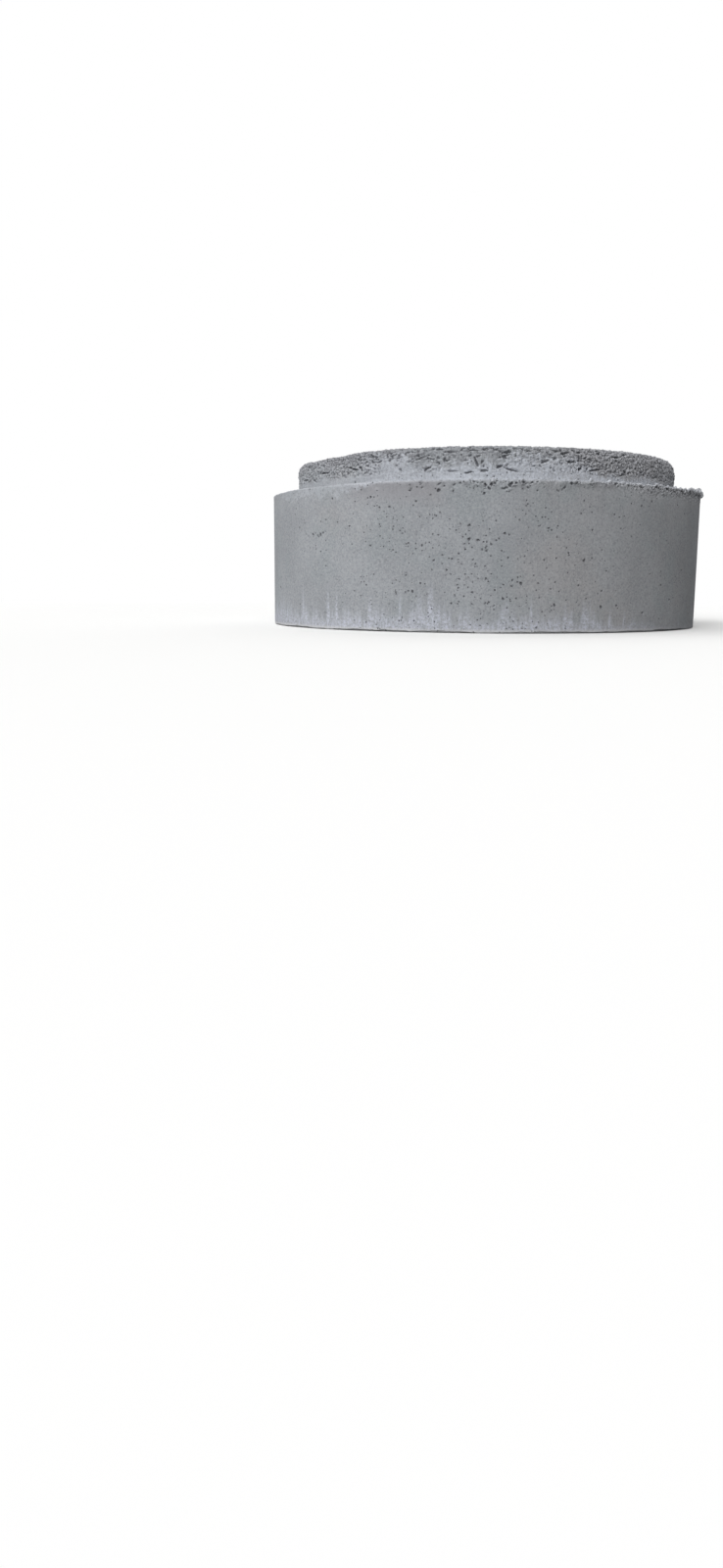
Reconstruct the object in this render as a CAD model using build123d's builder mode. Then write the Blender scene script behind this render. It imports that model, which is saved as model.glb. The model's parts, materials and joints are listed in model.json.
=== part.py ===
"""Short precast concrete pipe ring with a tongue-and-groove joint, standing on its groove end."""
import os

from build123d import *

# Driving dimensions in millimetres: the plain ring
bore_diameter = 1000
wall_thickness = 120
body_height = 370  # from the rim to the shoulder, what one ring adds to a stack

# The tongue is the inner part of the wall, and it stands up above the shoulder
tongue_thickness = 46
tongue_height = 88
nose_width = 24  # how far the tongue's rounded nose draws in from its flank
nose_height = 42  # how far down the flank that rounding starts

# Room for mortar between this ring's tongue and the groove of the ring above
side_clearance = 8
end_clearance = 4

# Edges that the mould leaves
rim_round = 4
shoulder_round = 6
root_fillet = 8
bore_edge_round = 6
groove_lead_in = 8

bore_radius = bore_diameter / 2
outer_radius = bore_radius + wall_thickness
tongue_radius = bore_radius + tongue_thickness
total_height = body_height + tongue_height

# The groove is the tongue's own shape, moved out and up by the clearances
groove_radius = tongue_radius + side_clearance
groove_depth = tongue_height + end_clearance

os.makedirs("parts", exist_ok=True)

# The whole ring is one casting: the section of its wall, turned about the upright axis
with BuildPart() as pipe_ring:
    with BuildSketch(Plane.XZ) as wall_section:
        with BuildLine():
            rim = Line((outer_radius, 0), (groove_radius + groove_lead_in, 0))
            lead_in = Line(rim @ 1, (groove_radius, groove_lead_in))
            groove_wall = Line(lead_in @ 1, (groove_radius, groove_depth - nose_height))
            groove_nose = EllipticalCenterArc(
                center=(groove_radius - nose_width, groove_depth - nose_height),
                x_radius=nose_width,
                y_radius=nose_height,
                start_angle=0,
                arc_size=90,
            )
            seat = Line(groove_nose @ 1, (bore_radius, groove_depth))
            bore_wall = Line(seat @ 1, (bore_radius, total_height))
            tongue_top = Line(bore_wall @ 1, (tongue_radius - nose_width, total_height))
            tongue_nose = EllipticalCenterArc(
                center=(tongue_radius - nose_width, total_height - nose_height),
                x_radius=nose_width,
                y_radius=nose_height,
                start_angle=0,
                arc_size=90,
            )
            tongue_flank = Line(tongue_nose @ 0, (tongue_radius, body_height))
            shoulder = Line(tongue_flank @ 1, (outer_radius, body_height))
            outer_wall = Line(shoulder @ 1, rim @ 0)
        make_face()
        for corner, radius in (
            (outer_wall @ 1, rim_round),
            (outer_wall @ 0, shoulder_round),
            (tongue_flank @ 1, root_fillet),
            (bore_wall @ 0, bore_edge_round),
            (bore_wall @ 1, bore_edge_round),
        ):
            fillet(vertices().sort_by_distance(corner)[0], radius=radius)
    revolve(axis=Axis.Z)
pipe_ring.part.label = "pipe_ring"
export_step(pipe_ring.part, "parts/pipe_ring.step")
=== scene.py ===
"""Dressed model of a short precast concrete pipe ring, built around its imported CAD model."""
import json
import math

import bpy
import numpy as np
from mathutils import Matrix, Vector


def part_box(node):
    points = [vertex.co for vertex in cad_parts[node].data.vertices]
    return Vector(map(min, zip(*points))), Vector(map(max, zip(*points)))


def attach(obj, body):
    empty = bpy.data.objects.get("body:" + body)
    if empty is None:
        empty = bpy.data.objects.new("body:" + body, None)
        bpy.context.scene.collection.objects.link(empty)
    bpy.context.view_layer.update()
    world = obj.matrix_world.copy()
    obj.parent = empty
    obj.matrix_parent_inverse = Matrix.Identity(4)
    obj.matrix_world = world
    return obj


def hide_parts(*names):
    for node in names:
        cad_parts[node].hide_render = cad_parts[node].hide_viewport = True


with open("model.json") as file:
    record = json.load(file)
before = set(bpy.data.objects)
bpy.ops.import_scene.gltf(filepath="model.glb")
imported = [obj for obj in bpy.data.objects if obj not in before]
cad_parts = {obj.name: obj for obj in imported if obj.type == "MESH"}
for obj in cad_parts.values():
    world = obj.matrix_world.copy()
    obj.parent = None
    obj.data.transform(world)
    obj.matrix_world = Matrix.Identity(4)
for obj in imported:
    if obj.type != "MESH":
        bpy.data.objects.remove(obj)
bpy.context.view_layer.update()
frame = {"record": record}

# The wall's section
# The ring is one casting of dry, stiff concrete, packed into a steel mould that turns its section
# about the bore. The outline runs once round that section, from the bore's lower edge along the
# underside, and up the outside.
mounts = {mount["name"]: mount for mount in frame["record"]["mounts"]}
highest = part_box("pipe_ring")[1]
outer_radius, top_level = highest.x, highest.z
shoulder_level = mounts["shoulder"]["pos_m"][2]
nose_width = 0.024
rim_round = 0.004
shoulder_round = 0.006


def round_face(name):
    """Radius, lower level and upper level of one of the ring's round faces, in metres."""
    place, sizes = mounts[name]["pos_m"], mounts[name]["dims"]
    half_length = sizes["length_mm"] / 2000
    return sizes["r_mm"] / 1000, place[2] - half_length, place[2] + half_length


def arc(centre, half_width, half_height, start, end):
    """Points of a quarter turn on the outline, between two angles in degrees."""
    angles = np.radians(np.linspace(start, end, 13))
    return np.column_stack((centre[0] + half_width * np.cos(angles),
                            centre[1] + half_height * np.sin(angles)))


bore_radius, bore_low, bore_high = round_face("bore")
tongue_radius, flank_low, flank_high = round_face("tongue")
groove_radius, lead_in, groove_high = round_face("groove")
bore_round = top_level - bore_high
nose_height = top_level - flank_high
root_fillet = flank_low - shoulder_level
rim_corner = (outer_radius - rim_round, rim_round)
shoulder_corner = (outer_radius - shoulder_round, shoulder_level - shoulder_round)
root_corner = (tongue_radius + root_fillet, shoulder_level + root_fillet)

# Each stretch of the outline has its own step between rows, in metres. It is fine where the
# concrete is rough and shows.
stretches = (
    (arc((bore_radius + bore_round, bore_low), bore_round, bore_round, 180, 270), 0.002),
    ([(groove_radius - nose_width, groove_high + nose_height)], 0.005),
    (arc((groove_radius - nose_width, groove_high), nose_width, nose_height, 90, 0), 0.005),
    ([(groove_radius, lead_in), (groove_radius + lead_in, 0)], 0.005),
    ([(outer_radius - rim_round, 0)], 0.003),
    (arc(rim_corner, rim_round, rim_round, 270, 360), 0.0015),
    ([(outer_radius, shoulder_corner[1])], 0.002),
    (arc(shoulder_corner, shoulder_round, shoulder_round, 0, 90), 0.0016),
    ([(root_corner[0], shoulder_level)], 0.0025),
    (arc(root_corner, root_fillet, root_fillet, 270, 180), 0.002),
    (arc((tongue_radius - nose_width, flank_high), nose_width, nose_height, 0, 90), 0.002),
    ([(bore_radius + bore_round, top_level)], 0.002),
    (arc((bore_radius + bore_round, bore_high), bore_round, bore_round, 90, 180), 0.0016),
    ([(bore_radius, bore_low)], 0.004),
)
coarser = 1.0
rows = []
last = np.array([[bore_radius, bore_low]])
for points, step in stretches:
    run = np.vstack((last, points))
    lengths = np.concatenate(([0], np.cumsum(np.hypot(*np.diff(run, axis=0).T))))
    row_steps = max(2, round(lengths[-1] / step / coarser))
    marks = np.linspace(0, lengths[-1], row_steps + 1)[:-1]
    rows.append(np.column_stack([np.interp(marks, lengths, run[:, side]) for side in (0, 1)]))
    last = run[-1:]
outline = np.vstack(rows)
steps = np.hypot(*(np.roll(outline, -1, axis=0) - outline).T)
along = np.concatenate(([0], np.cumsum(steps)[:-1]))
girth = steps.sum()

# The way out of the concrete at each row, eased round the corners so that a deep hole there
# doesn't fold
corner_ease = 0.007
tangents = np.roll(outline, -1, axis=0) - np.roll(outline, 1, axis=0)
square_out = np.column_stack((tangents[:, 1], -tangents[:, 0])) / np.hypot(*tangents.T)[:, None]
apart = np.abs(along[:, None] - along[None, :])
nearness = np.exp(-(np.minimum(apart, girth - apart) / corner_ease) ** 2) * steps[None, :]
outward = nearness @ square_out
outward /= np.hypot(*outward.T)[:, None]

# The casting's surface
# Steel leaves the wall smooth, a little out of true, with air holes. The tongue is pressed by a
# header ring and stripped at once, so it tears and shows its grit. The relief is one depth for
# each point of a grid round the ring, in metres.
column_count = int(1950 / coarser)  # 2 mm apart on the outside
azimuths = np.arange(column_count) * 2 * math.pi / column_count
round_places = np.stack((np.cos(azimuths), np.sin(azimuths)), axis=-1)
places = np.empty((len(outline), column_count, 3))
places[..., :2] = outline[:, None, :1] * round_places[None]
places[..., 2] = outline[:, 1:]
relief = np.zeros(places.shape[:2])
kept = np.zeros(places.shape[:2], bool)  # points that the thinning leaves alone
draws = np.random.default_rng(370)  # for all that is scattered

# A random field is made of cells, turned askew to the ring, that each pick an entry of a table
askew = np.array(Matrix.Rotation(0.7, 3, Vector((1, 2, 3))))
first_cell = 500
cell_key = (1, 101, 4099)
table_size = 8192


def lumps(size, seed):
    """Smooth random field over the grid, from -1 to 1, with lumps of that size in metres."""
    table = np.random.default_rng(seed).uniform(-1, 1, table_size)
    spots = places @ askew / size + first_cell
    cells = np.floor(spots).astype(int)
    parts = spots - cells
    parts = parts * parts * (3 - 2 * parts)
    field = 0
    for corner in np.ndindex(2, 2, 2):
        key = (cells + corner) @ cell_key % table_size
        field = field + table[key] * np.prod(np.where(corner, parts, 1 - parts), axis=-1)
    return field


def gravel(size, seed, flatter=1.0):
    """Stones packed together on the ring's upper end, of that size in metres.

    Gives 0 in the gaps to 1 on the stones, and a shade from 0 to 1 for each stone.
    """
    far, gap = 9.0, 0.35  # as shares of a stone's size
    table = np.random.default_rng(seed).random((table_size, 3))
    rough = np.flatnonzero((outline[:, 1] > shoulder_level - 0.06)
                           & (outline[:, 0] > bore_radius + 0.001))
    spots = places[rough] * (1, 1, flatter) @ askew / size + first_cell
    first = np.full(spots.shape[:2], far)
    second, owner = first.copy(), np.zeros(spots.shape[:2], int)
    for step in np.ndindex(3, 3, 3):
        cells = np.floor(spots).astype(int) + step - 1
        key = cells @ cell_key % table_size
        away = np.sqrt(((cells + table[key] - spots) ** 2).sum(axis=-1))
        second = np.minimum(second, np.maximum(first, away))
        owner = np.where(away < first, key, owner)
        first = np.minimum(first, away)
    tops, shades = np.ones(relief.shape), np.full(relief.shape, 0.5)
    tops[rough] = np.clip((second - first) / gap, 0, 1)
    shades[rough] = table[owner, 0]
    return tops, shades


def ease(value, start, end):
    """Goes smoothly from 0 at start to 1 at end."""
    part = np.clip((value - start) / (end - start), 0, 1)
    return part * part * (3 - 2 * part)


def facing(azimuth, half_angle):
    """Share of each column, 1 at an azimuth in degrees and 0 past the half angle to each side."""
    off = np.abs((np.degrees(azimuths) - azimuth + 180) % 360 - 180)
    return 1 - ease(off, half_angle * 0.5, half_angle)


def level_along(radius, level):
    """Place along the outline that is nearest to a radius and level in metres."""
    return along[np.argmin(np.hypot(outline[:, 0] - radius, outline[:, 1] - level))]


def column_at(azimuth):
    """Column of the grid at an azimuth in degrees."""
    return int(azimuth / 360 * column_count) % column_count


def press(azimuth, place, width, depth, stretch=1.0, tilt=0.0, crisp=False):
    """Presses a ragged hole into the relief, or raises a crumb where its depth is below zero.

    The thinning leaves a crisp one alone, with 2.5 mm round it.
    """
    margin = 0.0025
    reach = width * stretch * 0.7
    row_low, row_high = np.searchsorted(along, (place - reach, place + reach))
    if row_high <= row_low:
        return
    radius = outline[(row_low + row_high) // 2 % len(outline), 0]
    middle = azimuth / 360 * column_count
    span = int(reach / radius / 2 / math.pi * column_count) + 1
    columns = np.arange(math.floor(middle) - span, math.floor(middle) + span + 2)
    across = (columns - middle) / column_count * 2 * math.pi * radius
    up = along[row_low:row_high, None] - place
    turn = math.radians(tilt)
    x = (across * math.cos(turn) + up * math.sin(turn)) / (stretch * width / 2)
    y = (up * math.cos(turn) - across * math.sin(turn)) / (width / 2)
    angle = np.arctan2(y, x)
    first, second = draws.uniform(0, 6.3, 2)
    ragged = 1 + 0.16 * np.sin(2 * angle + first) + 0.14 * np.sin(3 * angle + second)
    distance = np.hypot(x, y) * ragged
    relief[row_low:row_high, columns % column_count] -= depth * np.clip(1 - distance ** 3, 0, 1)
    if crisp:
        kept[row_low:row_high, columns % column_count] |= distance < 1 + margin / (width / 2)


radii, levels = outline[:, :1], outline[:, 1:]
outside = radii > outer_radius - 0.02
edge_share = 1 - ease(np.hypot(radii - outer_radius, levels - shoulder_level), 0.004, 0.030)
near_top = ease(levels, top_level - 0.010, top_level - 0.002)

# The mould is a little out of true
relief += 0.0007 * lumps(0.30, 1) + 0.00025 * lumps(0.07, 2)

# Torn, gritty concrete on the tongue: coarsest at two stretches of the front, closer between them
coarse = np.clip(0.45 + 0.5 * lumps(0.20, 3) + 0.6 * facing(-154, 34) + 0.8 * facing(-45, 36)
                 - 0.3 * facing(-88, 34), 0.2, 1.1)
tongue_share = (levels > shoulder_level + 0.004) * (radii > bore_radius + 0.001) * ease(
    levels + 0.008 * lumps(0.045, 21), shoulder_level + 0.016, shoulder_level + 0.030)
rough_share = tongue_share * (1 - 0.45 * near_top)
stones, stone_tone = gravel(0.0098, 22, flatter=1.2)
pebbles, pebble_tone = gravel(0.0056, 23)
relief += rough_share * coarse * (
    0.0024 * (stones - 0.8) + 0.0020 * (stone_tone - 0.6) + 0.0009 * (pebbles - 0.8))

# Flakes lie nearly level round the tongue, where the header ring turned as it was pressed in, most
# at the nose
nose_share = ease(levels, shoulder_level + 0.044, shoulder_level + 0.066)
flakes, flake_tone = gravel(0.021, 25, flatter=2.6)
flaked = np.clip(0.45 + 0.55 * nose_share + 0.9 * lumps(0.05, 16), 0, 1)
flaked = flaked * rough_share * (1.35 - 0.9 * coarse)
relief += flaked * (0.0040 * (np.minimum(flakes * 2.2, 1) - 0.9) + 0.0030 * (flake_tone - 0.6))
calm = 1 - 0.65 * facing(-94, 44) * (1 - nose_share)
relief += rough_share * calm * (1.2 - 0.8 * coarse) * (
    0.0012 * (pebbles - 0.8) + 0.0010 * (pebble_tone - 0.5))

# Smears of slurry on the shoulder and round the tongue's foot
foot_share = (levels > shoulder_level - 0.003) * (1 - tongue_share) * (radii > bore_radius + 0.02)
relief += foot_share * (
    0.0009 * lumps(0.034, 8) + 0.0005 * lumps(0.010, 9) + 0.0006 * (pebbles - 0.8))

# The shoulder's edge crumbles as the mould is lifted, most where the front shows it
crumbly = np.clip(0.35 + 0.6 * lumps(0.14, 10) + 0.5 * facing(-96, 24) + 0.4 * facing(-62, 16)
                  + 0.7 * facing(-22, 36) - 0.2 * facing(-150, 30), 0, 1.1)
relief += edge_share * crumbly * (
    0.0018 * (stones - 0.8) + 0.0016 * (stone_tone - 0.55) + 0.0010 * (pebbles - 0.8)
    + 0.0030 * lumps(0.017, 11))

# The edge and the nose stand a little lower at the left of the front, and the nose's corner fuller
relief -= 0.0022 * edge_share * facing(-152, 26) + 0.005 * nose_share * facing(-151, 17)
nose_corner = nose_share * (radii > tongue_radius - 0.016) * (1 - near_top)
relief += 0.0036 * nose_corner * facing(-170, 20)

# Grains have spilled down the top of the wall at the right of the front
spilled = outside * ease(levels, shoulder_level - 0.045, shoulder_level - 0.012) * facing(-38, 28)
relief += spilled * (
    0.0016 * (pebbles - 0.8) + 0.0014 * (pebble_tone - 0.6) + 0.0012 * lumps(0.012, 12))
kept |= spilled > 0.25
unpitted = relief.copy()

# Air holes in the outer wall that are wide enough to see, 0.42 of their width deep: azimuth in
# degrees, level and width in millimetres
front_holes = (
    (-104, 154, 7), (-103, 144, 6), (-112, 101, 8), (-111, 90, 5), (-98, 100, 7), (-101, 132, 6),
    (-98, 125, 5), (-102, 91, 5), (-101, 77, 6), (-98, 72, 6), (-95, 74, 6), (-95, 134, 6),
    (-107, 177, 7), (-105, 190, 6), (-105, 169, 5), (-98, 179, 6), (-97, 162, 5), (-113, 170, 4),
    (-111, 128, 4), (-117, 203, 6), (-121, 88, 4), (-125, 89, 4), (-146, 203, 5), (-95, 200, 7),
    (-72, 179, 9), (-70, 184, 6), (-53, 174, 5), (-64, 165, 5), (-52, 147, 6), (-89, 130, 7),
    (-87, 122, 9), (-89, 115, 6), (-91, 119, 6), (-83, 123, 6), (-91, 85, 8), (-88, 86, 6),
    (-93, 68, 6), (-78, 103, 6), (-80, 109, 6), (-79, 70, 8), (-79, 59, 5), (-80, 53, 5),
    (-67, 105, 7), (-68, 98, 6), (-67, 65, 9), (-54, 49, 8), (-43, 82, 8), (-41, 87, 6),
    (-76, 148, 5), (-95, 133, 5), (-94, 188, 6), (-82, 67, 4), (-128, 294, 5), (-118, 308, 7),
    (-123, 333, 7), (-133, 275, 6), (-139, 246, 9), (-141, 250, 6), (-137, 283, 6), (-116, 275, 5),
    (-101, 265, 6), (-99, 261, 8), (-99, 228, 9), (-97, 226, 8), (-106, 238, 6), (-114, 246, 5),
    (-123, 214, 7), (-113, 234, 4), (-110, 264, 4), (-129, 264, 5), (-95, 221, 6), (-100, 217, 6),
    (-91, 242, 8), (-90, 239, 6), (-81, 255, 7), (-83, 261, 5), (-79, 255, 5), (-83, 245, 4),
    (-94, 216, 7), (-95, 211, 6), (-96, 203, 6), (-94, 242, 4), (-91, 198, 5), (-142, 247, 8),
    (-140, 243, 7), (-144, 243, 6), (-138, 250, 7), (-137, 253, 5), (-145, 249, 5), (-151, 236, 4),
)
wall_foot = level_along(outer_radius, rim_round)


def up_wall(level_mm):
    """Place along the outline of a level on the outer wall, in millimetres."""
    return wall_foot + level_mm / 1000 - rim_round


for azimuth, level, width in front_holes:
    press(azimuth, up_wall(level), width / 1000, width * 0.00042, crisp=True)

# Smaller ones among them, and the rest of the wall round the back and inside the bore
for count, start, end, widest in ((190, -160, -30, 5.0), (420, -30, 200, 8.0)):
    for azimuth in draws.uniform(start, end, count):
        level = draws.triangular(0.03, 0.16, 0.34)
        width = 0.001 * (3 + (widest - 3) * draws.random() ** 2.5)
        press(azimuth, wall_foot + level, width, width * draws.uniform(0.3, 0.45), crisp=True)
bore_top = level_along(bore_radius, bore_high)
for azimuth in draws.uniform(0, 360, 420):
    width = 0.001 * (3.5 + 5 * draws.random() ** 2.5)
    press(azimuth, bore_top + draws.uniform(0.02, 0.33), width, width * draws.uniform(0.3, 0.45),
          crisp=True)

# Voids and crumbs along the shoulder's edge: azimuth in degrees, level and width in millimetres
edge_voids = (
    (-106, 347, 13), (-105, 352, 9), (-108, 334, 8), (-110, 360, 8), (-110, 350, 8), (-113, 359, 8),
    (-113, 345, 9), (-103, 345, 9), (-103, 339, 7), (-98, 365, 10), (-96, 339, 12), (-96, 358, 9),
    (-116, 366, 6), (-104, 366, 6), (-94, 354, 14), (-90, 354, 14), (-91, 349, 9), (-89, 364, 12),
    (-91, 364, 8), (-87, 362, 8), (-84, 342, 8), (-78, 348, 12), (-79, 345, 8), (-76, 360, 12),
    (-74, 367, 14), (-64, 365, 18), (-71, 362, 8), (-58, 366, 12), (-60, 358, 8), (-53, 363, 10),
    (-47, 363, 14), (-48, 340, 8), (-51, 342, 8), (-67, 362, 8), (-34, 356, 14), (-22, 368, 12),
    (-53, 347, 8), (-50, 354, 8), (-63, 368, 14), (-59, 368, 12), (-55, 367, 11), (-51, 367, 13),
    (-44, 366, 14), (-70, 368, 9),
)
mm_per_degree = 10.8  # round the outside
void_parts = ((0.56, 0.55), (0.38, 0.5), (0.34, 0.5), (0.30, -0.3), (0.30, 0.5), (0.26, -0.3))
for azimuth, level, width in edge_voids:
    for part, depth in void_parts:
        shift, rise = draws.normal(0, 0.26, 2) * width
        press(azimuth + shift / mm_per_degree, up_wall(level + rise), part * width / 1000,
              depth * part * width / 1000, stretch=draws.uniform(0.9, 1.4),
              tilt=draws.uniform(-30, 60), crisp=True)
for azimuth, level in zip(draws.triangular(-99, -91, -82, 32), draws.uniform(345, 369, 32)):
    width = draws.uniform(0.004, 0.0075)
    press(azimuth, up_wall(level), width, width * draws.choice((0.4, 0.45, -0.35)),
          stretch=draws.uniform(1, 1.5), tilt=draws.uniform(-30, 60), crisp=True)
shoulder_edge = level_along(outer_radius, shoulder_level)
for azimuth, share in zip(draws.uniform(-180, 180, 700), draws.random(700)):
    if share < 0.8 * crumbly[0, column_at(azimuth)]:
        width = draws.uniform(0.0035, 0.0075)
        press(azimuth, shoulder_edge + draws.normal(-0.004, 0.008), width,
              width * draws.choice((0.36, 0.30, -0.26)), stretch=draws.uniform(1, 1.5),
              tilt=draws.uniform(-40, 40))

# Loose crumbs that the mould left standing on the shoulder's edge: azimuth in degrees, width in
# millimetres
loose_crumbs = (
    (-24, 19), (-27, 14), (-21, 17), (-30, 12), (-17, 15), (-71, 8), (-66, 9), (-80, 6), (-89, 6),
    (-57, 9), (-51, 8), (-46, 9), (-40, 10), (-34, 12), (-104, 6), (-99, 6), (-112, 5), (-7, 14),
    (12, 9), (38, 8), (-62, 8), (-54, 7), (-49, 6), (-43, 8), (-37, 9), (-32, 13), (-19, 12),
    (-75, 7), (-68, 6),
)
for azimuth, width in loose_crumbs:
    press(azimuth, shoulder_edge + draws.uniform(-0.003, 0.005), width / 1000, -width * 0.0006,
          stretch=1.2, crisp=True)

# Open pits where stones have come away, all over the tongue
flank_foot = level_along(tongue_radius, flank_low)
tongue_length = level_along(bore_radius + bore_round, top_level) - flank_foot
for azimuth, share in zip(draws.uniform(-180, 180, 3600), draws.random(3600)):
    if share < 0.15 + 0.8 * coarse[0, column_at(azimuth)]:
        width = 0.001 * (3.5 + 4.5 * draws.random() ** 2)
        press(azimuth, flank_foot + 0.016 + draws.random() ** 0.8 * (tongue_length - 0.016), width,
              width * draws.choice((0.5, 0.4, 0.45, -0.25)), stretch=draws.uniform(1, 1.8),
              tilt=draws.uniform(-25, 25))

# Tears in the tongue's face, where the stiff mix dragged: azimuth and tilt in degrees, and level,
# length and width in millimetres, in the order azimuth, level, length, tilt, width
front_tears = (
    (-105, 445, 38, 8, 7), (-99, 448, 29, 5, 7), (-111, 405, 20, 14, 6), (-98, 417, 28, -62, 7),
    (-104, 397, 35, 4, 4), (-100, 393, 22, 10, 6), (-113, 431, 31, 15, 6), (-117, 447, 18, 12, 6),
    (-148, 412, 50, -5, 6), (-162, 404, 60, -5, 5), (-154, 396, 26, -17, 6),
    (-135, 414, 44, -15, 6), (-128, 442, 25, -7, 6), (-96, 397, 25, 3, 6), (-92, 406, 22, 13, 7),
    (-89, 399, 36, -14, 6), (-96, 449, 12, 3, 6), (-93, 451, 19, 9, 6), (-90, 443, 19, 14, 9),
    (-91, 432, 19, 9, 6), (-80, 420, 23, 24, 9), (-74, 444, 28, 14, 7), (-73, 421, 12, -5, 8),
    (-70, 404, 14, 6, 8), (-65, 405, 37, 9, 7), (-55, 398, 28, 11, 8), (-83, 408, 10, -8, 5),
    (-85, 448, 23, -10, 8), (-58, 440, 31, 5, 7), (-122, 449, 20, 4, 8), (-108, 452, 26, 3, 8),
    (-101, 453, 24, 2, 8), (-94, 454, 16, 4, 8), (-87, 452, 26, 3, 9), (-82, 451, 18, 5, 8),
    (-77, 449, 16, 6, 8), (-70, 447, 18, 8, 8), (-64, 446, 16, 5, 8),
)
back_tears = tuple(
    (azimuth, draws.uniform(396, 448), draws.uniform(12, 42), draws.uniform(-18, 18),
     draws.uniform(4, 8))
    for azimuth in draws.uniform(0, 180, 34))
small_tears = tuple(
    (azimuth, draws.uniform(422, 455), draws.uniform(6, 20), draws.uniform(-25, 25),
     draws.uniform(3, 5.5))
    for azimuth in draws.uniform(-130, -58, 66))
inner_rows = radii[:, 0] < tongue_radius - nose_width
for azimuth, level, length, tilt, width in front_tears + back_tears + small_tears:
    nearest = np.argmin(np.abs(levels[:, 0] - level / 1000) + inner_rows)
    press(azimuth, along[nearest], width / 1000, width * 0.00075, stretch=length / width,
          tilt=tilt, crisp=True)

# The rim's outer lip is ragged where the pallet came away, mostly 2 to 7 mm off the floor
lip_share = ease(radii, outer_radius - 0.009, outer_radius - 0.004)
lip_share = lip_share * (1 - ease(levels, 0.004, 0.018))
lip = 0.0032 + 0.0035 * lumps(0.13, 13) + 0.0018 * lumps(0.024, 14) + 0.0014 * lumps(0.009, 15)
highest_lip = 0.0075


def cast(depths):
    """The grid's points with a relief pressed in, and the way out of the concrete at each."""
    grid = places.copy()
    grid[..., :2] += (outward[:, None, :1] * depths[..., None]) * round_places[None]
    grid[..., 2] += outward[:, 1:] * depths + lip_share * np.clip(lip, 0, highest_lip)
    grid[..., 2] = np.clip(grid[..., 2], 0, None)
    facings = np.cross(np.roll(grid, -1, axis=1) - np.roll(grid, 1, axis=1),
                       np.roll(grid, -1, axis=0) - np.roll(grid, 1, axis=0))
    return grid, facings / np.linalg.norm(facings, axis=-1, keepdims=True)


surface, facings = cast(relief)

# The grid is closed both ways into one skin, then thinned to at most a set number of triangles
here = np.arange(len(outline))[:, None] * column_count + np.arange(column_count)[None]
above = np.roll(here, -1, axis=0)
faces = np.stack((here, np.roll(here, -1, axis=1), np.roll(above, -1, axis=1), above), axis=-1)
faces = faces.reshape(-1, 4)
most_triangles = 194000
grid_mesh = bpy.data.meshes.new("ring_grid")
grid_mesh.from_pydata(surface.reshape(-1, 3), [], faces)
ring = bpy.data.objects.new("pipe_ring_cast", grid_mesh)
bpy.context.scene.collection.objects.link(ring)
thin = ring.modifiers.new("thin", "DECIMATE")
thin.ratio = min(1.0, most_triangles / (2 * len(faces)))
thin.use_collapse_triangulate = True
ring.vertex_groups.new(name="kept").add(np.flatnonzero(kept).tolist(), 1.0, "REPLACE")
thin.vertex_group = "kept"
thin.invert_vertex_group = True
bpy.context.view_layer.update()
skin = bpy.data.meshes.new_from_object(ring.evaluated_get(bpy.context.evaluated_depsgraph_get()))
ring.modifiers.clear()
ring.vertex_groups.clear()
ring.data = skin
bpy.data.meshes.remove(grid_mesh)
skin.name = "pipe_ring_cast"
skin.shade_smooth()

# The point of the grid that each corner of the thinned skin comes from
corners = np.empty(len(skin.vertices) * 3)
skin.vertices.foreach_get("co", corners)
corners = corners.reshape(-1, 3)
corner_turns = np.arctan2(corners[:, 1], corners[:, 0])
flat = np.column_stack((np.hypot(corners[:, 0], corners[:, 1]), corners[:, 2]))
nearest = np.concatenate([
    np.argmin(((part[:, None] - outline[None]) ** 2).sum(axis=-1), axis=1)
    for part in np.array_split(flat, 1 + len(flat) // 5000)])
column = np.round(corner_turns / 2 / math.pi * column_count).astype(int) % column_count

# Off the torn parts the skin is shaded as the full grid is, and round the holes as if they weren't
# there, or else the long faces between the holes would show as streaks
torn_grid = tongue_share * np.clip(coarse, 0.5, 1) + 0.8 * edge_share * crumbly + 0.45 * spilled
torn_grid = np.clip(torn_grid, 0, 1)
shallowest = 0.00002
in_hole = np.abs(relief - unpitted)[..., None] > shallowest
facings = np.where(in_hole, facings, cast(unpitted)[1])
shading = facings[nearest, column] * (torn_grid[nearest, column] < 0.05)[:, None]
skin.normals_split_custom_set_from_vertices(shading.tolist())

# How deep each point lies in a hole, and how far below its neighbours: the material paints shade
# there, and makes proud grains paler
reach = range(-2, 3)
softened = sum(np.roll(relief, (row, side), (0, 1)) for row in reach for side in reach)
softened = softened / len(reach) ** 2
open_part = (levels > shoulder_level - 0.002) & (radii > bore_radius + 0.002)
crevices = np.clip((softened - relief) / 0.0011, -1, 1)
crevices = crevices * np.maximum(torn_grid, 0.55 * (open_part & kept))
for name, field in (
    ("hollow", np.clip((unpitted - relief) / 0.003, -1, 1)),
    ("crevice", crevices),
    ("torn", torn_grid),
    ("stone", 0.6 * stone_tone + 0.4 * pebble_tone),
):
    attribute = skin.attributes.new(name, "FLOAT", "POINT")
    attribute.data.foreach_set("value", field[nearest, column])

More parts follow.
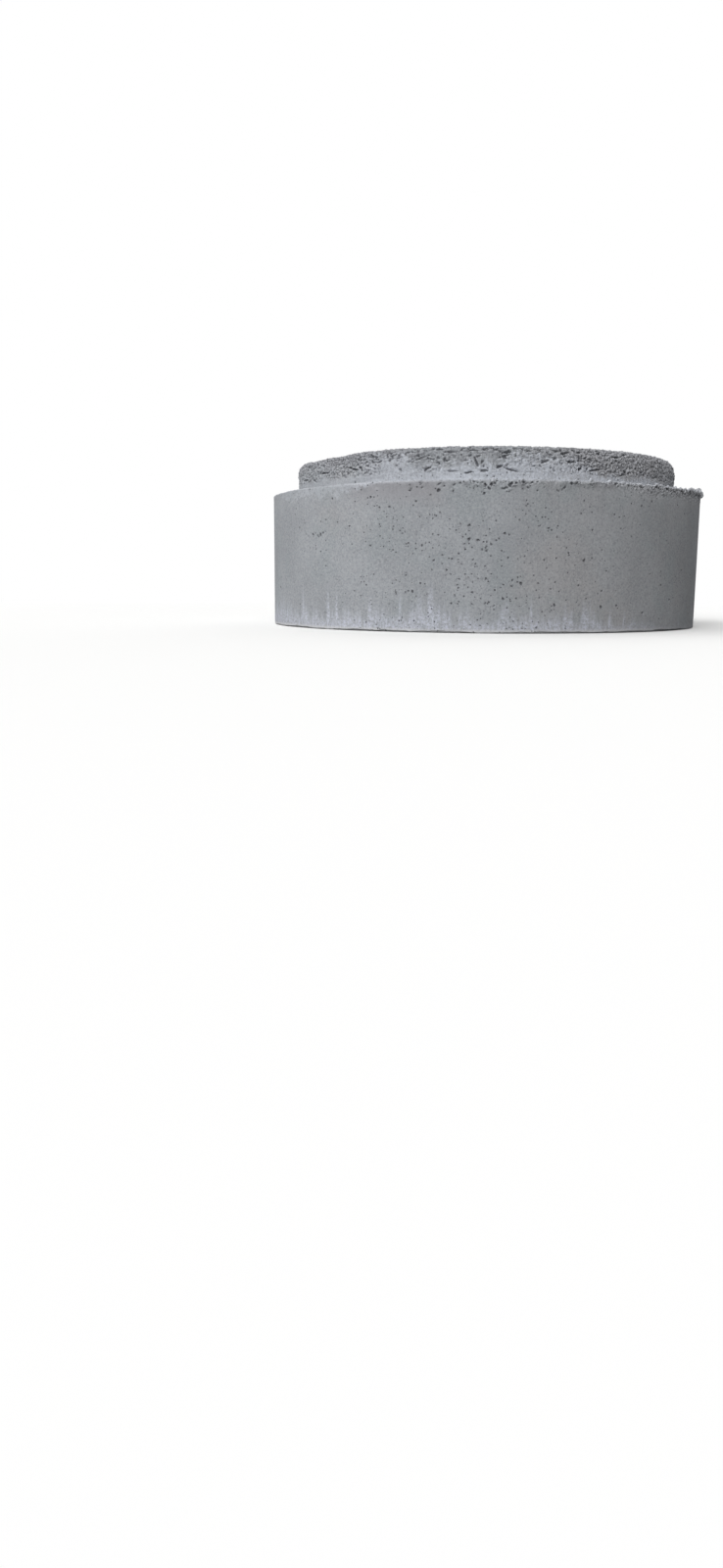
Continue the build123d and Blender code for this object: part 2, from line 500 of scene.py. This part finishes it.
# The skin unrolled into four quarter turns, two by two, for its baked map
quarter_margin = 0.04
spread = 1 - 2 * quarter_margin
used = np.empty(len(skin.loops), int)
skin.loops.foreach_get("vertex_index", used)
turns = (corner_turns / (math.pi / 2) % 4)[used].reshape(-1, 3)
girths = (along[nearest] / girth)[used].reshape(-1, 3)
turns += 4 * (turns < turns.max(axis=1, keepdims=True) - 2)
girths += 1.0 * (girths < girths.max(axis=1, keepdims=True) - 0.5)
quarters = np.floor(turns.mean(axis=1, keepdims=True))
girths -= np.floor(girths.mean(axis=1, keepdims=True))
flat_x = (quarters % 4 % 2 + quarter_margin + spread * (turns - quarters)) / 2
flat_y = (quarters % 4 // 2 + quarter_margin + spread * girths) / 2
bake_map = skin.uv_layers.new(name="OFBake")
bake_map.uv.foreach_set("vector", np.stack((flat_x, flat_y), axis=-1).ravel().astype(np.float32))

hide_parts("pipe_ring")
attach(ring, "root")


# Precast concrete, cast against oiled steel and stripped green
# A dense, matt cement skin: bluish grey with broad clouds, faint upright drag lines and small air
# holes, grit where it is torn, and a lilac-white bloom of lime that has crept up from the lower
# edge.
def colour(code):
    """Linear colour of an sRGB hex value."""
    parts = [int(code[i:i + 2], 16) / 255 for i in (1, 3, 5)]
    return [part / 12.92 if part <= 0.04045 else ((part + 0.055) / 1.055) ** 2.4
            for part in parts] + [1.0]


def add(tree, kind, inputs=(), output=0, **settings):
    """Adds a node to a tree and gives one of its outputs.

    The inputs come in order, or by name or number in a dictionary. Each is a plain value, or the
    output that feeds it.
    """
    node = tree.nodes.new("ShaderNode" + kind)
    for name, value in settings.items():
        setattr(node, name, value)
    for name, value in inputs.items() if isinstance(inputs, dict) else enumerate(inputs):
        if isinstance(value, bpy.types.NodeSocket):
            tree.links.new(value, node.inputs[name])
        else:
            node.inputs[name].default_value = value
    return node.outputs[output] if node.outputs else None


concrete = bpy.data.materials.new("precast_concrete")
concrete.use_nodes = True
tree = concrete.node_tree
tree.nodes.clear()
smooth = {"interpolation_type": "SMOOTHSTEP"}

# Where a point of the skin is on the ring, and what its mesh says of it
where = add(tree, "TexCoord", output="Object")
drawn_up = add(tree, "Mapping", {"Vector": where, "Scale": (1, 1, 0.035)})
level_here = add(tree, "SeparateXYZ", (where,), "Z")
sideways = add(tree, "VectorMath", (where, (1, 1, 0)), operation="MULTIPLY")
radius_here = add(tree, "VectorMath", (sideways,), "Value", operation="LENGTH")
heading = add(tree, "VectorMath", (sideways,), operation="NORMALIZE")
hollow, torn, crevice, stone = (
    add(tree, "Attribute", output="Fac", attribute_name=name)
    for name in ("hollow", "torn", "crevice", "stone"))


def towards(azimuth, half_angle, most=1.0, elsewhere=0.0):
    """Most where the ring faces an azimuth in degrees, and less to the half angle on each side."""
    turn, half = math.radians(azimuth), math.radians(half_angle)
    cosine = add(tree, "VectorMath", (heading, (math.cos(turn), math.sin(turn), 0)), "Value",
                 operation="DOT_PRODUCT")
    return add(tree, "MapRange", (cosine, math.cos(half), math.cos(half / 2), elsewhere, most),
               **smooth)


def patches(size_mm, start, end, least=0.0, most=1.0, detail=3.0, roughness=0.55, lie=where):
    """Patches about that many millimetres across: where a noise goes past start, up to end."""
    noise = add(tree, "TexNoise", {"Vector": lie, "Scale": 1000 / size_mm, "Detail": detail,
                                   "Roughness": roughness})
    return add(tree, "MapRange", (noise, start, end, least, most), **smooth)


def lay(code, strength, *shares):
    """The skin's colour with another laid over it, as strongly as its shares multiplied."""
    for share in shares:
        strength = add(tree, "Math", (strength, share), operation="MULTIPLY")
    return add(tree, "Mix", {0: strength, 6: skin_colour, 7: colour(code)}, 2, data_type="RGBA")


# Broad clouds of damp and cement, 150 mm and 38 mm across, with 9 mm flecks, warm patches of oil
# and dust, and cool ones between them
skin_colour = colour("#96999d")
skin_colour = lay("#a0a3a7", patches(150, 0.35, 0.65, detail=4.0, roughness=0.6))
warm = add(tree, "Math", (patches(210, 0.5, 0.72, most=0.34), towards(-58, 34, 0.22)),
           operation="ADD")
skin_colour = lay("#a19e9e", warm)
skin_colour = lay("#868a8e", patches(38, 0.45, 0.7, most=0.22, detail=4.0, roughness=0.65))
skin_colour = lay("#87868a", patches(9, 0.48, 0.7, most=0.30, roughness=0.6))
skin_colour = lay("#939a9d", patches(95, 0.48, 0.66, most=0.36))

# Drag lines from the mould as it was lifted: 1 to 3 mm apart, drawn 5 mm apart so that they show
line_spacing_mm = 5
drag = add(tree, "TexNoise", {"Vector": drawn_up, "Scale": 1000 / line_spacing_mm, "Detail": 2.0,
                              "Roughness": 0.6})
skin_colour = lay("#7d8186", add(tree, "MapRange", (drag, 0.45, 0.75, 0.0, 0.06), **smooth))

# Sand in the cement skin is under 1 mm, and is drawn 5 mm across so that it shows
sand_mm = 5
sand = add(tree, "TexNoise", {"Vector": where, "Scale": 1000 / sand_mm, "Detail": 3.0,
                              "Roughness": 0.75})
skin_colour = lay("#74777b", add(tree, "MapRange", (sand, 0.50, 0.66, 0.0, 0.52), **smooth))
skin_colour = lay("#b6b8bb", add(tree, "MapRange", (sand, 0.46, 0.32, 0.0, 0.44), **smooth))

# The torn tongue has weathered darker, most at the left of the front and least in its middle
upper_tongue = add(tree, "MapRange", (level_here, shoulder_level + 0.035, top_level - 0.012),
                   **smooth)
weathered = add(tree, "Math", (towards(-78, 30, 0.68, elsewhere=1.08), towards(-152, 26, 0.35)),
                operation="ADD")
skin_colour = lay("#6c6c71", torn, upper_tongue, patches(70, 0.2, 0.55, least=0.5), weathered, 0.55)

# Grit of 4 to 8 mm shows where the concrete is torn, as dark and pale stones
dark_stones = add(tree, "MapRange", (stone, 0.55, 0.85, 0.0, 0.5), **smooth)
pale_stones = add(tree, "MapRange", (stone, 0.35, 0.15, 0.0, 0.35), **smooth)
skin_colour = lay("#66656a", torn, dark_stones)
skin_colour = lay("#b9bbbf", torn, pale_stones)
# Darker at the right of the front: partly darker grit, partly painted shade of that shaded side
skin_colour = lay("#636266", torn, towards(-44, 36, 0.30))

# Dust under the shoulder's edge at the left of the front, and pale spilled grains at its right
upper_wall = add(tree, "MapRange", (level_here, shoulder_level - 0.075, shoulder_level - 0.020),
                 **smooth)
under_edge = add(tree, "MapRange", (level_here, shoulder_level + 0.006, shoulder_level), **smooth)
skin_colour = lay("#929195", towards(-117, 15, 0.60), upper_wall, under_edge)
grain_band = add(tree, "MapRange", (level_here, shoulder_level - 0.055, shoulder_level - 0.012),
                 **smooth)
skin_colour = lay("#c6c7cb", towards(-42, 30, 0.6), grain_band,
                  patches(7, 0.48, 0.62, least=0.2, roughness=0.75))

# Slurry smeared round the tongue's foot, pale and grainy at its upper edge: how far up it reaches,
# by side, and how far up that each point is
slurry_reach = patches(60, 0.25, 0.75, 0.040, 0.064, detail=4.0, roughness=0.65)
for azimuth, half_angle, further in (
    (-124, 10, 0.040), (-77, 16, 0.032), (-155, 30, -0.018), (-44, 36, -0.028),
):
    slurry_reach = add(tree, "Math", (slurry_reach, towards(azimuth, half_angle, further)),
                       operation="ADD")
above_shoulder = add(tree, "Math", (level_here, shoulder_level), operation="SUBTRACT")
slurry_height = add(tree, "Math", (above_shoulder, slurry_reach), operation="DIVIDE")
ragged_edge = patches(9, 0.3, 0.7, -0.35, 0.35, detail=4.0, roughness=0.75)
slurry_height = add(tree, "Math", (slurry_height, ragged_edge), operation="ADD")
slurry_top = add(tree, "MapRange", (slurry_height, 1.05, 0.55), **smooth)

# It has spilled over the edge at the left, and worn off in patches round the sides and back
spill = patches(14, 0.3, 0.65, -0.002, 0.036, detail=4.0, roughness=0.75)
spill = add(tree, "Math", (towards(-143, 22), spill, level_here), operation="MULTIPLY_ADD")
slurry_foot = add(tree, "MapRange", (spill, shoulder_level - 0.008, shoulder_level + 0.003),
                  **smooth)
off_bore = add(tree, "MapRange", (radius_here, bore_radius + 0.03, bore_radius + 0.04), **smooth)
worn_off = add(tree, "Math", (patches(90, 0.42, 0.58, most=-0.6, detail=4.0, roughness=0.6),
                              towards(-95, 80, 0.0, elsewhere=1.0), 1.0),
               operation="MULTIPLY_ADD")

# The shoulder's ledge carries less of it, and is darker and pitted
off_tongue = add(tree, "MapRange", (radius_here, tongue_radius + 0.006, tongue_radius + 0.020),
                 **smooth)
off_wall = add(tree, "MapRange", (radius_here, outer_radius - 0.006, outer_radius - 0.012),
               **smooth)
ledge = add(tree, "Math", (off_tongue, patches(46, 0.36, 0.62, detail=5.0, roughness=0.7)),
            operation="MULTIPLY")
ledge = add(tree, "Math", (ledge, off_wall), operation="MULTIPLY")
thickness = add(tree, "Math", (ledge, -0.66, 0.88), operation="MULTIPLY_ADD")
skin_colour = lay("#bcc0c8", slurry_top, slurry_foot, off_bore, worn_off, thickness,
                  patches(7, 0.38, 0.58, least=0.3, detail=4.0, roughness=0.8),
                  towards(-154, 34, 0.42, elsewhere=1.0), towards(-6, 34, 0.2, elsewhere=1.0))
on_ledge = add(tree, "MapRange", (level_here, shoulder_level - 0.004, shoulder_level - 0.001),
               **smooth)
ledge = add(tree, "Math", (ledge, on_ledge), operation="MULTIPLY")
skin_colour = lay("#727276", ledge, patches(7, 0.44, 0.6, most=0.7, detail=4.0, roughness=0.8))

# The tongue is darker in two places
darker_tongue_patches = add(tree, "Math", (towards(-121, 17, 0.16), towards(-153, 24, 0.09)), operation="ADD")
on_tongue = add(tree, "MapRange", (level_here, shoulder_level, shoulder_level + 0.008), **smooth)
skin_colour = lay("#6a6b6f", darker_tongue_patches, on_tongue)

# Lime bloom rises 20 to 60 mm from the rim, on some sides more than on others
lime_side = add(tree, "Math", (towards(-150, 105), towards(60, 80, 0.7)), operation="ADD")
lime_side = add(tree, "Math", (lime_side, towards(-61, 20, 0.3)), operation="ADD")
lime_reach = add(tree, "Math", (
    patches(40, 0.35, 0.7, 0.032, 0.115, detail=4.0, roughness=0.7, lie=drawn_up),
    add(tree, "MapRange", (lime_side, 0.0, 1.0, 0.28, 1.0), **smooth)), operation="MULTIPLY")

# Its streaks are 10 to 28 mm wide and go on to 145 mm: azimuth in degrees, half width and top
for azimuth, half_width, streak_top in (
    (-155.0, 0.010, 0.085), (-146.5, 0.009, 0.130), (-136.2, 0.008, 0.135), (-133.2, 0.006, 0.125),
    (-123.0, 0.011, 0.105), (-115.0, 0.006, 0.120), (-107.6, 0.014, 0.145), (-103.0, 0.008, 0.070),
    (-99.5, 0.009, 0.060), (-91.0, 0.006, 0.100), (-88.5, 0.005, 0.085), (-84.5, 0.006, 0.105),
    (-64.5, 0.010, 0.060), (-60.0, 0.009, 0.065), (-37.0, 0.008, 0.060),
):
    turn = math.radians(azimuth)
    aside = add(tree, "VectorMath", (where, (-math.sin(turn), math.cos(turn), 0)), "Value",
                operation="DOT_PRODUCT")
    aside = add(tree, "Math", (aside,), operation="ABSOLUTE")
    streak = add(tree, "MapRange", (aside, half_width, half_width * 0.3), **smooth)
    streak = add(tree, "Math", (streak, towards(azimuth, 40, streak_top)), operation="MULTIPLY")
    lime_reach = add(tree, "Math", (lime_reach, streak), operation="MAXIMUM")
lime_height = add(tree, "Math", (level_here, lime_reach), operation="DIVIDE")
outer_side = add(tree, "MapRange", (radius_here, outer_radius - 0.05, outer_radius - 0.02),
                 **smooth)
skin_colour = lay(
    "#c1c4d0", outer_side, 0.92,
    add(tree, "MapRange", (lime_height, 1.0, 0.30), **smooth),
    add(tree, "MapRange", (lime_side, 0.0, 0.8, 0.3, 1.0), **smooth),
    patches(6, 0.42, 0.57, least=0.08, detail=4.0, roughness=0.85),
    patches(12, 0.3, 0.6, least=0.45, detail=4.0, roughness=0.7, lie=drawn_up))

# The ragged lip of the rim is clean and pale
at_lip = add(tree, "MapRange", (level_here, 0.013, 0.003), **smooth)
lip_side = add(tree, "MapRange", (lime_side, 0.0, 0.6, 0.35, 1.0), **smooth)
skin_colour = lay("#c8c9ca", outer_side, at_lip, lip_side, 0.85)

# Small air holes, scattered in drifts, closest at the middle of the front: up to 6 mm wide in
# cells of 15 mm, and pinholes of up to 5 mm in cells of 8 mm. They are dents of the bump only, and
# their dark colour is painted shade.
drift = add(tree, "Math", (patches(80, 0.40, 0.62), towards(-100, 36, 0.5)), operation="ADD")
drift = add(tree, "Math", (ledge, 0.6, drift), operation="MULTIPLY_ADD")
lower_wall = add(tree, "MapRange", (level_here, shoulder_level - 0.06, shoulder_level - 0.13,
                                    0.0, 0.6), **smooth)
closer = add(tree, "Math", (towards(-101, 19), lower_wall, drift), operation="MULTIPLY_ADD")
no_hole = 0.001  # its size in cells, above zero so that it divides
small_holes = []
for cell_mm, fewest, widest, gathered, whole, most, rim, code in (
    (15.0, 0.40, 0.22, drift, 0.8, 1.0, 0.65, "#4b4c50"),
    (8.0, 0.45, 0.28, closer, 1.2, 1.2, 0.60, "#4f5054"),
):
    distance = add(tree, "TexVoronoi", {"Vector": where, "Scale": 1000 / cell_mm}, "Distance")
    pick = add(tree, "SeparateColor", (distance.node.outputs["Color"],))
    hole_size = add(tree, "Math", (
        add(tree, "MapRange", (pick, fewest, 1.0, 0.0, widest), **smooth),
        add(tree, "MapRange", (gathered, 0.0, whole, 0.0, most), **smooth),
        no_hole), operation="MULTIPLY_ADD")
    hole = add(tree, "Math", (distance, hole_size), operation="DIVIDE")
    hole = add(tree, "MapRange", (hole, 1.0, rim), **smooth)
    skin_colour = lay(code, hole, 0.8)
    small_holes.append(hole)

# Painted shade darkens the deeper holes, tears and crevices, and grains standing proud between
# them are made paler. The tears get less painted shade than the air holes, but for those at the
# nose.
torn_tongue = add(tree, "MapRange", (level_here, shoulder_level + 0.002, shoulder_level + 0.012),
                  **smooth)
torn_tongue = add(tree, "Math", (torn, torn_tongue), operation="MULTIPLY")
nose = (level_here, top_level - 0.022, top_level - 0.010)
hole_shade_strength = add(tree, "Math", (torn_tongue, add(tree, "MapRange", (*nose, -0.36, -0.06), **smooth),
                              0.72), operation="MULTIPLY_ADD")
painted_hole_shade = add(tree, "MapRange", (hollow, 0.1, 0.8), **smooth)
skin_colour = lay("#46474b", painted_hole_shade, hole_shade_strength)
painted_crevice_shade = add(tree, "MapRange", (crevice, 0.17, 0.8), **smooth)
skin_colour = lay("#3a3b3f", painted_crevice_shade, add(tree, "MapRange", (*nose, 0.75, 0.95), **smooth))
skin_colour = lay("#c2c4c9", add(tree, "MapRange", (crevice, -0.2, -0.9, 0.0, 0.5), **smooth))

# The bumps, in millimetres: drag lines, sand, grit of the torn parts, small holes, and crumbs at
# the ring's upper end
grit_mm, crumb_mm = 11, 6
grit = add(tree, "TexNoise", {"Vector": where, "Scale": 1000 / grit_mm, "Detail": 4.0,
                              "Roughness": 0.7})
crumbs = add(tree, "TexNoise", {"Vector": where, "Scale": 1000 / crumb_mm, "Detail": 3.0,
                                "Roughness": 0.7})
torn_height = add(tree, "Math", (torn, 1.6), operation="MULTIPLY")
crumb_height = add(tree, "MapRange", (level_here, shoulder_level - 0.03, shoulder_level, 0.0, 2.2),
                   **smooth)
bumps = add(tree, "Math", (drag, 0.15), operation="MULTIPLY")
for pattern, pattern_height in (
    (sand, 0.25), (grit, torn_height), (small_holes[0], -1.2), (small_holes[1], -0.8),
    (crumbs, crumb_height),
):
    bumps = add(tree, "Math", (pattern, pattern_height, bumps), operation="MULTIPLY_ADD")
millimetre = 0.001
bump = add(tree, "Bump", {"Height": bumps, "Strength": 1.0, "Distance": millimetre})

# Dry cement stone: matt, and a little smoother where the steel polished it
shader = add(tree, "BsdfPrincipled", {
    "Base Color": skin_colour,
    "Roughness": patches(30, 0.3, 0.7, 0.82, 0.95),
    "IOR": 1.5,
    "Specular IOR Level": 0.2,
    "Normal": bump,
})
add(tree, "OutputMaterial", {"Surface": shader})
skin.materials.append(concrete)

# The stage
# A wide, level, pale floor under the ring, which fades into a white background: distances from
# the ring's axis in metres.
floor_size = 60.0
fade_start, fade_end = 0.9, 4.0
floor_mesh = bpy.data.meshes.new("floor")
floor_corners = ((-1, -1), (1, -1), (1, 1), (-1, 1))
floor_mesh.from_pydata([(x * floor_size, y * floor_size, 0.0) for x, y in floor_corners], [],
                       [(0, 1, 2, 3)])
floor = bpy.data.objects.new("floor", floor_mesh)
bpy.context.scene.collection.objects.link(floor)
paint = bpy.data.materials.new("floor_paint")
paint.use_nodes = True
tree = paint.node_tree
tree.nodes.clear()
seen = add(tree, "LightPath", output="Is Camera Ray")
off_middle = add(tree, "VectorMath", (add(tree, "TexCoord", output="Object"),), "Value",
                 operation="LENGTH")
fade = add(tree, "MapRange", (off_middle, fade_start, fade_end), **smooth)
fade = add(tree, "Math", (seen, fade), operation="MULTIPLY")
paint_colour = add(tree, "Mix", {0: seen, 6: colour("#6c6c6c"), 7: colour("#f4f4f3")}, 2,
                   data_type="RGBA")
painted = add(tree, "BsdfDiffuse", {"Color": paint_colour})
white = add(tree, "Emission", {"Color": (1, 1, 1, 1), "Strength": 1.0})
add(tree, "OutputMaterial", {"Surface": add(tree, "MixShader", (fade, painted, white))})
floor_mesh.materials.append(paint)

# The light
# Plain and soft, as under a bright, cloudy sky: most comes from the front left, and the right side
# falls into shade.
for name, azimuth, raised, strength, softness in (
    ("key", -105, 35, 2.18, 46),
    ("fill", -175, 30, 1.36, 70),
    ("back", 75, 35, 1.00, 70),
):
    lamp = bpy.data.lights.new(name, "SUN")
    lamp.energy = strength
    lamp.angle = math.radians(softness)
    sun = bpy.data.objects.new(name, lamp)
    bpy.context.scene.collection.objects.link(sun)
    turn, rise = math.radians(azimuth), math.radians(raised)
    to_lamp = Vector((math.cos(rise) * math.cos(turn), math.cos(rise) * math.sin(turn),
                      math.sin(rise)))
    sun.rotation_euler = to_lamp.to_track_quat("Z", "Y").to_euler()

sky = bpy.data.worlds.new("sky")
bpy.context.scene.world = sky
sky.use_nodes = True
tree = sky.node_tree
tree.nodes.clear()
rays = add(tree, "LightPath").node.outputs
shown = add(tree, "Math", (rays["Is Camera Ray"], rays["Is Glossy Ray"]), operation="MAXIMUM")
shown = add(tree, "Math", (shown, rays["Is Transmission Ray"]), operation="MAXIMUM")
sky_way = add(tree, "TexCoord", output="Generated")
sky_side = add(tree, "MapRange", (add(tree, "SeparateXYZ", (sky_way,), "X"), -1.0, 1.0, 0.52, 0.07))
sky_level = add(tree, "Mix", {0: shown, 2: sky_side, 3: 1.0}, data_type="FLOAT")
sky_light = add(tree, "Background", {"Color": (1, 1, 1, 1), "Strength": sky_level})
add(tree, "OutputWorld", {"Surface": sky_light})

# The camera
# Where the photograph's camera stood to this ring, level with its wall and looking a little down.
picture_height = 1600
focal_length = 1100  # in pixels of the picture
camera_pitch, camera_roll = 0.18635, 0.00526
camera = bpy.data.objects.new("camera", bpy.data.cameras.new("camera"))
bpy.context.scene.collection.objects.link(camera)
camera.data.sensor_width = 36.0
camera.data.lens = camera.data.sensor_width * focal_length / picture_height
camera.data.clip_start = 0.01
camera.location = (-0.3565, -3.30895, 0.12695)
camera.rotation_euler = (Matrix.Rotation(math.pi / 2 - camera_pitch, 3, "X")
                         @ Matrix.Rotation(camera_roll, 3, "Z")).to_euler()
bpy.context.scene.camera = camera
bpy.context.scene.view_settings.view_transform = "Standard"
